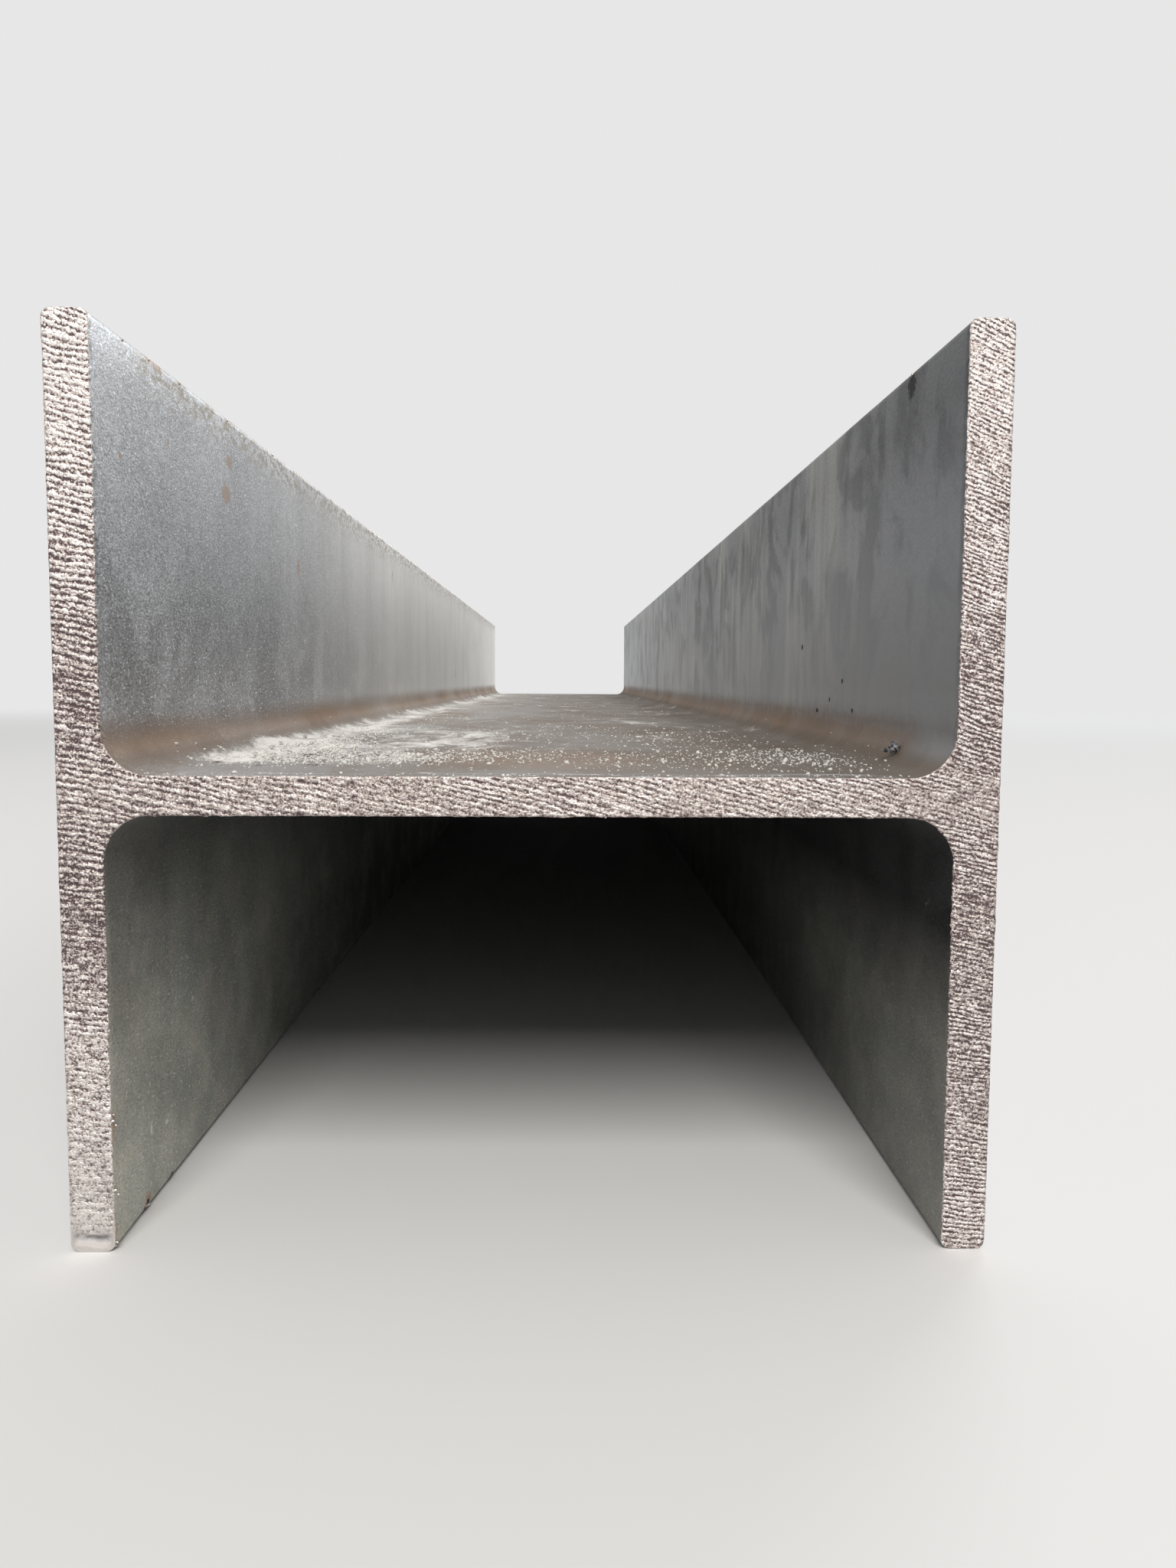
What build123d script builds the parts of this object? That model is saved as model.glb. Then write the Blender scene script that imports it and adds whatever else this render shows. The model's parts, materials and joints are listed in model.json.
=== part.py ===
"""A length of hot rolled wide flange steel section, sawn square at both ends and galvanised.

It lies as in a stack: web level, flanges upright, resting on the two lower flange toes.
X runs across the section, from one flange to the other. Y runs along the length. Z is up.
The origin is on the floor, under the middle of the length.
"""

import os

from build123d import *

# Driving dimensions, in millimetres
length = 1100.0
section_depth = 152.4
flange_width = 152.2
flange_thickness = 7.3
web_thickness = 6.5
root_radius = 7.6
toe_radius = 1.6
arris_radius = 0.4

# Places worked out from them
web_height = flange_width / 2
flange_centre = (section_depth - flange_thickness) / 2
web_span = section_depth - 2 * flange_thickness
toe_round = min(toe_radius, 0.45 * flange_thickness)
arris_round = min(arris_radius, 0.5 * toe_round)

# The plane of the section stands across the length, at the height of the web's middle.
section_plane = Plane(origin=(0, 0, web_height), x_dir=(1, 0, 0), z_dir=(0, -1, 0))


# Rolled section: one level web between two upright flanges
with BuildSketch(section_plane) as section:
    Rectangle(web_span, web_thickness)
    with Locations((-flange_centre, 0), (flange_centre, 0)):
        Rectangle(flange_thickness, flange_width)

    # The rolls leave a fillet in each of the four roots and soften the eight corners of the toes.
    levels = section.vertices().group_by(Axis.Y)
    lower_toes, lower_roots, upper_roots, upper_toes = levels
    fillet(lower_roots + upper_roots, root_radius)
    fillet(lower_toes + upper_toes, toe_round)


# Sawn length: the section drawn out evenly to both sides of the origin
with BuildPart() as h_beam:
    extrude(section.sketch, amount=length / 2, both=True)

    # The zinc coat rounds the sharp arris that the saw leaves round each end.
    end_faces = h_beam.faces().filter_by(Axis.Y)
    fillet(end_faces.edges(), arris_round)


h_beam.part.label = "h_beam"

os.makedirs("parts", exist_ok=True)
export_step(h_beam.part, "parts/h_beam.step")

print("section area mm2", round(section.sketch.area, 1))
print("volume mm3", round(h_beam.part.volume, 1))
print("size mm", h_beam.part.bounding_box().size)
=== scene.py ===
# %% [markdown]
# # A length of galvanised wide flange steel
# The real object is one bar of hot rolled steel with an H section. It was sawn square and then
# dipped in molten zinc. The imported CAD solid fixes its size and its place.
# This lesson makes the skin that an eye sees: saw marks under bright zinc at both ends, grey and
# mottled rolled faces, and the white zinc ash that lies on the web.

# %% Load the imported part
import json
from dataclasses import dataclass
from types import SimpleNamespace

import bpy
import numpy as np
from mathutils import Matrix, Vector


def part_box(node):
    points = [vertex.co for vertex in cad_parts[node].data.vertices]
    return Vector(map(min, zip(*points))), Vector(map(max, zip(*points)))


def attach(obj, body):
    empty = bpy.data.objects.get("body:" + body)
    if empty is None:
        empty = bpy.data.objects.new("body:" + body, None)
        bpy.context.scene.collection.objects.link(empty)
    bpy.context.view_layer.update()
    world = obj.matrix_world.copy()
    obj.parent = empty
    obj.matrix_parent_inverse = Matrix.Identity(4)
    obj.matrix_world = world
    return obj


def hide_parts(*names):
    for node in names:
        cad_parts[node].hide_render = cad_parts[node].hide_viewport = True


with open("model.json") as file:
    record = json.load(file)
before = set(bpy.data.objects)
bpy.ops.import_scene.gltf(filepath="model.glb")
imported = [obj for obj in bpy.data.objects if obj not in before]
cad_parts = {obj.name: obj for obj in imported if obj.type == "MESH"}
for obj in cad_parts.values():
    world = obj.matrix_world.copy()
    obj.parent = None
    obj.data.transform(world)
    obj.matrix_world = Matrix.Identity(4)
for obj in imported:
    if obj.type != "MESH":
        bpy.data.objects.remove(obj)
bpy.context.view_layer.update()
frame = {"record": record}

# %% [markdown]
# ## The section as numbers
# A rolled section is drawn with a few sizes: how deep and wide it is, how thick its flanges and
# web are, and the radii of its roots and toes. The frame gives the outer box and the web's two
# faces. The rest are the section's own thickness and radii. Half sizes from the middle of the
# web are handy, because all four quarters of the H are then the same.

# %% Read the sizes from the frame
MM = 0.001
near_corner, far_corner = (np.array(corner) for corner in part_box("h_beam"))
mounts = {mount["name"]: mount["pos_m"] for mount in frame["record"]["mounts"]}
web_top = mounts["web_upper_face"][2]
web_under = mounts["web_lower_face"][2]
web_middle = (web_top + web_under) / 2
near_end = near_corner[1]
far_end = far_corner[1]


@dataclass
class Section:
    """Half sizes, thickness and radii of an H that stands on its flange toes, from its centre."""

    half_depth: float
    half_width: float
    half_web: float
    flange: float
    root: float
    toe: float

    @property
    def inner(self):
        """From the centre to a flange's inner face."""
        return self.half_depth - self.flange

    @property
    def tops(self):
        """Height over the centre where the toes' arcs begin."""
        return self.half_width - self.toe

    @property
    def root_centre(self):
        """Centre of a root's arc, across and up."""
        return self.inner - self.root, self.half_web + self.root

    def shrunk(self, by):
        """The same section with its outline moved inwards all round."""
        return Section(self.half_depth - by, self.half_width - by, self.half_web - by,
                       self.flange - 2 * by, self.root + by, self.toe - by)


section = Section(
    half_depth=far_corner[0],
    half_width=(far_corner[2] - near_corner[2]) / 2,
    half_web=(web_top - web_under) / 2,
    flange=7.3 * MM,
    root=7.6 * MM,
    toe=1.6 * MM,
)
print("Section:", section)

# %% [markdown]
# ## The camera
# The photograph was taken close to the sawn end, from a little above the web, with a phone's wide
# lens. A camera is a place, three directions and a focal length. Its directions are worked out
# from how far it looks down, how far it is turned and how far it leans.

# %% Set up the camera
picture_height = 2048
focal_pixels = 1573
camera_place = np.array([5.2, -743.7, 95.1]) * MM
look_down, turn_right, lean = np.radians([4.97, 1.15, 0.32])


def new_object(name, data):
    """An object with this data, in the scene."""
    made = bpy.data.objects.new(name, data)
    bpy.context.scene.collection.objects.link(made)
    return made


ahead = np.array([
    np.sin(turn_right) * np.cos(look_down),
    np.cos(turn_right) * np.cos(look_down),
    -np.sin(look_down),
])
level_right = np.array([np.cos(turn_right), -np.sin(turn_right), 0.0])
level_up = np.cross(level_right, ahead)
camera_right = np.cos(lean) * level_right + np.sin(lean) * level_up
camera_up = np.cos(lean) * level_up - np.sin(lean) * level_right

lens_data = bpy.data.cameras.new("close_view")
lens_data.sensor_width = 36.0
lens_data.lens = focal_pixels / picture_height * lens_data.sensor_width
lens_data.clip_start = 0.01
camera = new_object("close_view", lens_data)
axes = np.stack([camera_right, camera_up, -ahead], axis=1)
camera.matrix_world = Matrix.Translation(camera_place) @ Matrix(axes.tolist()).to_4x4()
bpy.context.scene.camera = camera
print("Lens, mm:", round(lens_data.lens, 2))

# %% [markdown]
# ## Shader maths as sums
# A finish is a tree of nodes. Written node by node it is long and hard to read. Here a value is
# one output of a node, and a sum, product or step of values adds the node that works it out.

# %% Let values build their own nodes
class Value:
    """An output of a node. Sums, products and steps of values add nodes to its tree."""

    def __init__(self, tree, socket):
        self.tree, self.socket = tree, socket

    def __add__(self, other):
        return calc("ADD", self, other)

    def __sub__(self, other):
        return calc("SUBTRACT", self, other)

    def __rsub__(self, other):
        return calc("SUBTRACT", other, self)

    def __mul__(self, other):
        return calc("MULTIPLY", self, other)

    def __abs__(self):
        return calc("ABSOLUTE", self)

    def moved(self, kind, *ends):
        """The value moved from between two old ends to between two new ones, and held there."""
        inputs = dict(enumerate((self, *ends)))
        return worked("ShaderNodeMapRange", inputs, interpolation_type=kind)

    def stretch(self, low, high, new_low, new_high):
        """Values from low to high, moved evenly to the new range."""
        return self.moved("LINEAR", low, high, new_low, new_high)

    def ease(self, start, end):
        """0 up to start and 1 from end on, or the other way round, with a smooth step between."""
        return self.moved("SMOOTHSTEP", start, end, 0.0, 1.0)

    def between(self, without, within):
        """A number or value that is the first one where this mask is 0, and the second at 1."""
        return self.stretch(0.0, 1.0, without, within)

    def near_to(self, middle, width):
        """1 where the value is at the middle, falling smoothly to 0 at the width on both sides."""
        return abs(self - float(middle)).ease(float(width), 0.0)


def add(tree, kind, inputs=None, **settings):
    """Adds a node. A value or socket for an input is linked, and a number or colour is set."""
    node = tree.nodes.new(kind)
    for name, value in settings.items():
        setattr(node, name, value)
    for name, value in (inputs or {}).items():
        value = getattr(value, "socket", value)
        if isinstance(value, bpy.types.NodeSocket):
            tree.links.new(value, node.inputs[name])
        else:
            node.inputs[name].default_value = value
    return node


def worked(kind, inputs, output=0, **settings):
    """A node in its inputs' own tree, and one of its outputs as a value."""
    tree = next(value.tree for value in inputs.values() if isinstance(value, Value))
    return Value(tree, add(tree, kind, inputs, **settings).outputs[output])


def calc(operation, *values):
    """A Math node's result."""
    return worked("ShaderNodeMath", dict(enumerate(values)), operation=operation)


def vector_calc(operation, *values):
    """A Vector Math node's result, which is a number for a length."""
    output = "Value" if operation == "LENGTH" else "Vector"
    return worked("ShaderNodeVectorMath", dict(enumerate(values)), output, operation=operation)


# %% Mix colours, and keep shared nodes in groups
def mix(factor, first, second, blend="MIX"):
    """A colour between two others."""
    return worked("ShaderNodeMix", {0: factor, 6: first, 7: second}, 2,
                  data_type="RGBA", blend_type=blend)


def laid(colour, *layers):
    """A colour with others laid over it in turn, each one as far as its mask says."""
    for mask, layer in layers:
        colour = mix(mask, colour, layer)
    return colour


def grey(level):
    """A neutral colour of this level."""
    return (level, level, level, 1.0)


def new_finish(name):
    """A material, its tree and its Principled node."""
    material = bpy.data.materials.new(name)
    material.use_nodes = True
    return material, material.node_tree, material.node_tree.nodes["Principled BSDF"]


def make_group(build, **inputs):
    """A shader group from a function of its tree and inputs, which returns its outputs by name."""
    group = bpy.data.node_groups.new(build.__name__, "ShaderNodeTree")
    for label, value in inputs.items():
        socket = group.interface.new_socket(label, in_out="INPUT", socket_type="NodeSocketFloat")
        socket.default_value = value
    given = add(group, "NodeGroupInput").outputs
    results = build(group, *(Value(group, given[label]) for label in inputs))
    for label in results:
        group.interface.new_socket(label, in_out="OUTPUT", socket_type="NodeSocketFloat")
    add(group, "NodeGroupOutput", results)
    return group


def place_group(tree, group, **inputs):
    """Puts a group in a tree with its own values, and returns its outputs by name."""
    outputs = add(tree, "ShaderNodeGroup", inputs, node_tree=group).outputs
    return SimpleNamespace(**{label: Value(tree, outputs[label]) for label in outputs.keys()})


# %% [markdown]
# ## Studio
# A pale floor and an even pale surround give metal something calm to reflect. The background that
# is seen, or seen in the metal, is paler than the light that the surround gives. The floor fades
# into it a few metres out, so no horizon line shows from any side. One broad lamp stands high
# behind the camera, a little to the right, and a weaker one lights the far end.

# %% Light the studio
surround_level = 0.42
backdrop_level = 0.80
floor_level = 0.80
fade_start, fade_end = 1.2, 3.4
floor_radius = 9.0
floor_spokes, floor_rings = 96, 24


def seen_level(tree):
    """The backdrop's level for rays from the camera, a gloss or a glass, else the surround's."""
    rays = add(tree, "ShaderNodeLightPath").outputs
    seen = calc("MAXIMUM", Value(tree, rays["Is Camera Ray"]), rays["Is Glossy Ray"])
    seen = calc("MAXIMUM", seen, rays["Is Transmission Ray"])
    return mix(seen, grey(surround_level), grey(backdrop_level))


def make_surround():
    """The world gives the same light from every side."""
    world = bpy.data.worlds.new("even_surround")
    world.use_nodes = True
    tree = world.node_tree
    tree.links.new(seen_level(tree).socket, tree.nodes["Background"].inputs["Color"])
    bpy.context.scene.world = world


def make_lamp(name, place, target, size, watts, colour):
    """A square soft lamp that faces a point."""
    data = bpy.data.lights.new(name, "AREA")
    data.size = size
    data.energy = watts
    data.color = colour
    turn = (Vector(target) - Vector(place)).to_track_quat("-Z", "Y")
    lamp = new_object(name, data)
    lamp.matrix_world = Matrix.Translation(place) @ turn.to_matrix().to_4x4()


def hoop(first, second):
    """Quads between two loops with as many points, the second one further along."""
    next_first, next_second = np.roll([first, second], -1, axis=-1)
    return np.stack([first, second, next_second, next_first], axis=-1)


def make_floor():
    """A disc: x = r cos(a), y = r sin(a), at the height of the flange toes."""
    angles, radii = np.meshgrid(
        np.linspace(0, 2 * np.pi, floor_spokes, endpoint=False),
        np.linspace(0.02, 1, floor_rings) ** 2 * floor_radius)
    places = np.stack([radii * np.cos(angles), radii * np.sin(angles), 0 * radii], axis=-1)
    loops = np.arange(radii.size).reshape(radii.shape)
    quads = hoop(loops[:-1], loops[1:]).reshape(-1, 4).tolist()
    mesh = bpy.data.meshes.new("studio_floor")
    mesh.from_pydata(places.reshape(-1, 3), [], [*quads, loops[0].tolist()])
    floor = new_object("studio_floor", mesh)
    return floor


def paint_floor(floor):
    """Matt paint near the object, and the surround's own level further out."""
    material, tree, shader = new_finish("pale_floor")
    place = Value(tree, add(tree, "ShaderNodeTexCoord").outputs["Object"])
    shader.inputs["Base Color"].default_value = grey(floor_level)
    shader.inputs["Roughness"].default_value = 0.8
    shader.inputs["Specular IOR Level"].default_value = 0.2
    glow = add(tree, "ShaderNodeEmission", {"Color": seen_level(tree)})
    fade = add(tree, "ShaderNodeMixShader", {
        0: vector_calc("LENGTH", place).ease(fade_start, fade_end),
        1: shader.outputs[0],
        2: glow.outputs[0],
    })
    tree.links.new(fade.outputs[0], tree.nodes["Material Output"].inputs["Surface"])
    floor.data.materials.append(material)


make_surround()
make_lamp("sun_side_lamp", place=(0.2, -3.6, 3.0), target=(0, -0.45, 0.1), size=2.2,
          watts=150.0, colour=(1.0, 0.965, 0.92))
make_lamp("far_side_lamp", place=(1.9, 3.3, 2.7), target=(0, 0.3, 0.1), size=2.0,
          watts=54.0, colour=(0.94, 0.97, 1.0))
paint_floor(make_floor())
bpy.context.scene.view_settings.view_transform = "Standard"
print("Studio: surround", surround_level, "floor", floor_level)

# %% [markdown]
# ## Chance that repeats
# Zinc and saw marks are irregular, but a script has to give the same part each time. Random
# numbers that depend only on a lattice point and a seed do that. Eased between the lattice's
# corners they make soft noise, which later shapes the steel.

# %% Make soft noise from a lattice
def hashed(i, j, k, seed):
    """A fixed number from -1 to 1 for each lattice point: its bits, multiplied and shifted."""
    bits = (i * 73856093) ^ (j * 19349663) ^ (k * 83492791) ^ (seed * 50331653)
    for factor in (0x45D9F3B, 0x119DE1F3):
        bits = ((bits ^ (bits >> 15)) * factor) & 0xFFFFFFFF
    return (bits ^ (bits >> 14)) % 65536 / 32767.5 - 1


def soft_noise(x, y, z, size, seed):
    """Noise from -1 to 1 with cells of this size: lattice numbers, eased along each axis."""
    spots = np.stack(np.broadcast_arrays(x, y, z), axis=-1) / np.array(size)
    corner = np.floor(spots).astype(np.int64)
    part = spots - corner
    part = part * part * (3 - 2 * part)
    total = 0.0
    for step in np.ndindex(2, 2, 2):
        weight = np.prod(np.where(step, part, 1 - part), axis=-1)
        total = total + weight * hashed(*np.moveaxis(corner + step, -1, 0), seed)
    return total


def flat_noise(first, second, first_size, second_size, seed):
    """Soft noise over two directions. Its cells are given in millimetres."""
    return soft_noise(first, second, 0, (first_size * MM, second_size * MM, 1), seed)


print("Noise at the origin:", soft_noise(0.0, 0.0, 0.0, (1, 1, 1), 1))

# %% [markdown]
# ## The outline
# The outline is straight runs joined by three arcs in each quarter: two at the toe and one at the
# root. Two functions are enough to use it. One gives the place and the outward direction at a
# distance round the outline. The other takes points that lie close to it, sets them on it exactly,
# and says how far round they are.

# %% Walk round the section
def quarter_runs(shape):
    """Lengths of the seven runs in a quarter, from the outer face's middle to the web's middle."""
    arc = np.pi / 2
    return np.array([
        shape.tops,
        arc * shape.toe,
        shape.flange - 2 * shape.toe,
        arc * shape.toe,
        shape.tops - shape.half_web - shape.root,
        arc * shape.root,
        shape.inner - shape.root,
    ])


def outline_at(distance, shape):
    """Place and outward direction at a distance round the outline, anticlockwise from the right.

    The distance is folded into the first quarter. A straight run is its start plus the rest of
    the distance. An arc is its centre plus its radius, turned by the rest over the radius.
    """
    runs = quarter_runs(shape)
    quarter = runs.sum()
    turn, rest = np.divmod(distance, quarter)
    turn = turn.astype(int) % 4
    rest = np.where(turn % 2 == 1, quarter - rest, rest)
    ends = np.cumsum(runs)
    run = np.searchsorted(ends[:-1], rest)
    rest = rest - np.concatenate([[0.0], ends])[run]

    tops, (root_x, root_z) = shape.tops, shape.root_centre
    toe_turn, root_turn = rest / shape.toe, rest / shape.root
    x = np.choose(run, [
        shape.half_depth, shape.half_depth - shape.toe + shape.toe * np.cos(toe_turn),
        shape.half_depth - shape.toe - rest, shape.inner + shape.toe - shape.toe * np.sin(toe_turn),
        shape.inner, root_x + shape.root * np.cos(root_turn), root_x - rest,
    ])
    z = np.choose(run, [
        rest, tops + shape.toe * np.sin(toe_turn),
        shape.half_width, tops + shape.toe * np.cos(toe_turn),
        tops - rest, root_z - shape.root * np.sin(root_turn), shape.half_web,
    ])
    out_x = np.choose(run, [1, np.cos(toe_turn), 0, -np.sin(toe_turn), -1, -np.cos(root_turn), 0])
    out_z = np.choose(run, [0, np.sin(toe_turn), 1, np.cos(toe_turn), 0, np.sin(root_turn), 1])
    side_x = np.where((turn == 1) | (turn == 2), -1, 1)
    side_z = np.where(turn >= 2, -1, 1)
    return x * side_x, z * side_z, out_x * side_x, out_z * side_z


def settle(x, z, shape):
    """Distance round the outline of points close to it. Points at an arc go by their angle."""
    fold_x, fold_z = np.abs(x), np.abs(z)
    tops, (root_x, root_z) = shape.tops, shape.root_centre
    ends = np.concatenate([[0.0], np.cumsum(quarter_runs(shape))])
    high = fold_z > tops
    outer = fold_x > shape.inner + shape.flange / 2
    toe_x = np.where(outer, shape.half_depth - shape.toe, shape.inner + shape.toe)
    toe_angle = np.arctan2(fold_z - tops, fold_x - toe_x)
    root_angle = np.arctan2(root_z - fold_z, fold_x - root_x)
    distance = np.select(
        [
            high & (fold_x > shape.half_depth - shape.toe),
            high & (fold_x < shape.inner + shape.toe),
            high,
            outer,
            fold_z > root_z,
            fold_x > root_x,
        ],
        [
            ends[1] + shape.toe * toe_angle,
            ends[3] + shape.toe * (toe_angle - np.pi / 2),
            ends[2] + shape.half_depth - shape.toe - fold_x,
            fold_z,
            ends[4] + tops - fold_z,
            ends[5] + shape.root * root_angle,
        ],
        ends[6] + root_x - fold_x,
    )
    quarter = ends[-1]
    left, lower = x < 0, z < 0
    return np.select(
        [left & lower, left, lower],
        [2 * quarter + distance, 2 * quarter - distance, 4 * quarter - distance], distance)


outline_length = 4 * quarter_runs(section).sum()
print("Outline, mm:", round(outline_length / MM, 1))

# %% [markdown]
# ## The sawn face
# A saw leaves strokes that slope a little and break off, and the zinc freezes over them. This is
# a height field: a grid of places across and up, each pushed in or out by the strokes' relief.
# The grid is trimmed to the H, and its rim is then set on the outline exactly. That keeps every
# cell small where the marks are, and wastes none in the open channels.

# %% Trim a grid to the section
grid_across = 0.54 * MM
grid_up = 0.215 * MM


def covered(x, z, shape):
    """True in the steel: in a flange and not past a toe's arc, in the web, or in a root."""
    fold_x, fold_z = np.abs(x), np.abs(z)
    tops, (root_x, root_z) = shape.tops, shape.root_centre
    from_middle = fold_x - shape.inner - shape.flange / 2
    corner_x = np.abs(from_middle) - (shape.flange / 2 - shape.toe)
    past_toe = (corner_x > 0) & (fold_z > tops) & (np.hypot(corner_x, fold_z - tops) > shape.toe)
    in_root = (fold_x > root_x) & (fold_z < root_z)
    in_root &= np.hypot(fold_x - root_x, root_z - fold_z) > shape.root
    return ((fold_x > shape.inner) & ~past_toe) | (fold_z < shape.half_web) | in_root


def grid_lines(*stops, step):
    """Lines between each two stops, evenly spaced and at most a step apart, on both sides of 0."""
    runs = [np.linspace(low, high, int(np.ceil((high - low) / step)) + 1)[1:]
            for low, high in zip(stops, stops[1:])]
    half = np.concatenate(runs)
    return np.concatenate([-half[::-1], [0.0], half])


def trimmed_grid(shape):
    """Places, quads and rim of the grid's cells that lie in the steel, seen from the near end.

    A grid corner is on the rim if some but not all of its four cells are kept. The rim's corners
    are sorted by their distance round the outline, so that they make one closed loop.
    """
    tops, (root_x, root_z) = shape.tops, shape.root_centre
    across = grid_lines(0, root_x, shape.inner, shape.inner + shape.toe,
                        shape.half_depth - shape.toe, shape.half_depth, step=grid_across)
    up = grid_lines(0, shape.half_web, root_z, tops, shape.half_width, step=grid_up)
    middle_x, middle_z = (across[1:] + across[:-1]) / 2, (up[1:] + up[:-1]) / 2
    keep = covered(middle_x[:, None], middle_z[None, :], shape)
    cells = np.pad(keep, 1).astype(int)
    meeting = cells[1:, 1:] + cells[1:, :-1] + cells[:-1, 1:] + cells[:-1, :-1]
    used = meeting > 0
    number = np.cumsum(used).reshape(used.shape) - 1
    i, j = np.nonzero(keep)
    quads = number[[i, i + 1, i + 1, i], [j, j, j + 1, j + 1]].T
    x, z = (part[used] for part in np.meshgrid(across, up, indexing="ij"))
    rim = np.nonzero(meeting[used] < 4)[0]
    distance = settle(x[rim], z[rim], shape)
    order = np.argsort(distance)
    rim, distance = rim[order], distance[order]
    x[rim], z[rim], out_x, out_z = outline_at(distance, shape)
    return x, z, quads, rim, out_x, out_z


arris = 0.25 * MM
face_x, face_z, face_quads, rim, rim_out_x, rim_out_z = trimmed_grid(section.shrunk(arris))
print("Sawn face:", len(face_x), "places,", len(face_quads), "cells, rim of", len(rim))

# %% Shape the saw's strokes
stroke_slope, slope_lower, slope_change, slope_twist = -0.245, -2.45, -1.33, -10.6
stroke_pitch = 0.95 * MM
stroke_depth, dash_depth, swell_depth = 0.055 * MM, 0.070 * MM, 0.060 * MM
tooth_depth, tear_depth = 0.12 * MM, 0.24 * MM


def along_strokes(x, z):
    """How far along and how far across the strokes a place lies.

    A stroke's slope changes evenly to the right and upwards, and with the product of both. Across
    is the height less the slope added up from the middle of the section.
    """
    climb = (stroke_slope + slope_lower * z) * x + (slope_change + slope_twist * z) * x * x / 2
    return x + stroke_slope * z, z - climb


def stroke_relief(x, z, seed):
    """The strokes as three numbers for each place, and the face's relief in metres.

    Turns count the strokes across their own direction. Soft noise shifts them, so that lines bend,
    break and join. Strength is greater near the top, and fades low on the left, where the short
    dashes show instead. A line's height is the cosine of its turns, times its strength.
    """
    along, across = along_strokes(x, z)
    turns = (across / stroke_pitch + 0.50 * flat_noise(along, across, 7.0, 3.0, seed)
             + 0.20 * flat_noise(along, across, 2.6, 1.3, seed + 1))
    low_left = np.clip((-z - 15 * MM) / (30 * MM), 0, 1) * (x < 0)
    usual = 0.62 + 0.23 * np.clip(z / (40 * MM), 0, 1) - 0.42 * low_left
    strength = np.clip(usual + 0.4 * flat_noise(along, across, 9.0, 4.5, seed + 2), 0, 1)
    dashes = flat_noise(along, across, 1.6, 0.6, seed + 3)
    swell = flat_noise(x, z, 8, 8, seed + 4)
    lines = np.cos(2 * np.pi * turns) * strength
    return turns, strength, dashes, stroke_depth * lines + dash_depth * dashes + swell_depth * swell


def torn_edge(distance, out_x, out_z, seed):
    """How far the zinc stands out at the arris: small teeth, and a few long tears.

    It is least on edges that face up, where zinc ran smooth, and half on the two outer edges.
    """
    teeth = flat_noise(distance, 0, 0.75, 1, seed)
    tears = flat_noise(distance, 0, 4.0, 1, seed + 1)
    outer = np.clip(out_x * np.sign(outline_at(distance, section)[0]), 0, 1)
    share = (1 - 0.75 * np.clip(out_z, 0, 1)) * (1 - 0.55 * outer)
    out = tooth_depth * np.maximum(teeth, -0.4)
    return share * (out + tear_depth * np.maximum(tears - 0.4, 0) * (1 + teeth))


relief = stroke_relief(face_x, face_z, seed=11)[-1]
print("Relief, mm:", round(relief.min() / MM, 3), "to", round(relief.max() / MM, 3))

# %% [markdown]
# ## The rolled length
# Between the two ends the bar is a profile carried along a straight path: the outline at many
# stations. It needs far fewer points than the sawn rims do, so a band of triangles near each end
# joins the fine loop to the coarse one. Each point is pushed out a little by the zinc's swell,
# which is read from its place in space, so that no seam shows anywhere.

# %% Carry the outline along the length
straight_step = 7.6 * MM
root_steps, toe_steps = 6, 3
stations = 122
band = 2.4 * MM


def coarse_distances(shape):
    """Distances round the outline for the long loops: even steps in each run, more in the arcs."""
    runs = quarter_runs(shape)
    counts = np.ceil(runs / straight_step).astype(int)
    counts[[1, 3]] = toe_steps
    counts[5] = root_steps
    ends = np.concatenate([[0.0], np.cumsum(runs)])
    parts = [np.linspace(low, high, count, endpoint=False)
             for low, high, count in zip(ends, ends[1:], counts)]
    quarter = np.append(np.concatenate(parts), ends[-1])
    half = np.concatenate([quarter, 2 * ends[-1] - quarter[-2::-1]])
    return np.concatenate([half[:-1], 2 * ends[-1] + half[:-1]])


def zinc_swell(x, y, z):
    """How far the coat stands out, in metres: slow waves, and small runs across the bar."""
    waves = soft_noise(x, y, z, (31 * MM, 47 * MM, 31 * MM), 21)
    runs = soft_noise(x, y, z, (36 * MM, 13 * MM, 28 * MM), 22)
    return MM * (0.06 * waves + 0.02 * runs)


def stitch(fine, fine_distance, coarse, coarse_distance):
    """Triangles from a fine loop to a coarse one further along.

    Each fine edge goes to the coarse point that lies nearest, and where that point changes, one
    more triangle fills the step.
    """
    fine_middle = (fine_distance + np.append(fine_distance[1:], outline_length)) / 2
    coarse_middle = (coarse_distance + np.append(coarse_distance[1:], outline_length)) / 2
    nearest = np.searchsorted(coarse_middle, fine_middle) % len(coarse)
    change = np.searchsorted(fine_middle, coarse_middle, side="right") % len(fine)
    fans = np.stack([fine, coarse[nearest], np.roll(fine, -1)], axis=1)
    steps = np.stack([fine[change], coarse, np.roll(coarse, -1)], axis=1)
    return np.concatenate([fans, steps])


coarse_distance = coarse_distances(section)
print("Long loops:", stations, "of", len(coarse_distance), "points")

# %% [markdown]
# ## Two ends and a length in one closed mesh
# Both ends use the same grid, but each has its own chance, so the far face isn't a copy of the
# near one. The rim turns over the arris in two small steps and meets the rolled faces. At the
# near end the left toe dipped last, and the zinc that drained there froze in a smooth dish.

# %% Shape the ends' own details
dish_middle, dish_half, dish_side = -72.5 * MM, 3.3 * MM, 1.1 * MM
dish_top, dish_fade, dish_ragged = 4.8 * MM, 2.2 * MM, 1.1 * MM
hollow_height, hollow_depth = 2.7 * MM, 0.24 * MM
lip_height, lip_rise = 1.4 * MM, 0.18 * MM
bell_width, bell_wave = 0.50 * MM, 0.25 * MM
smooth_foot, half_calm_cut = 10 * MM, 0.4
dish_dash = 0.2 * MM


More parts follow.
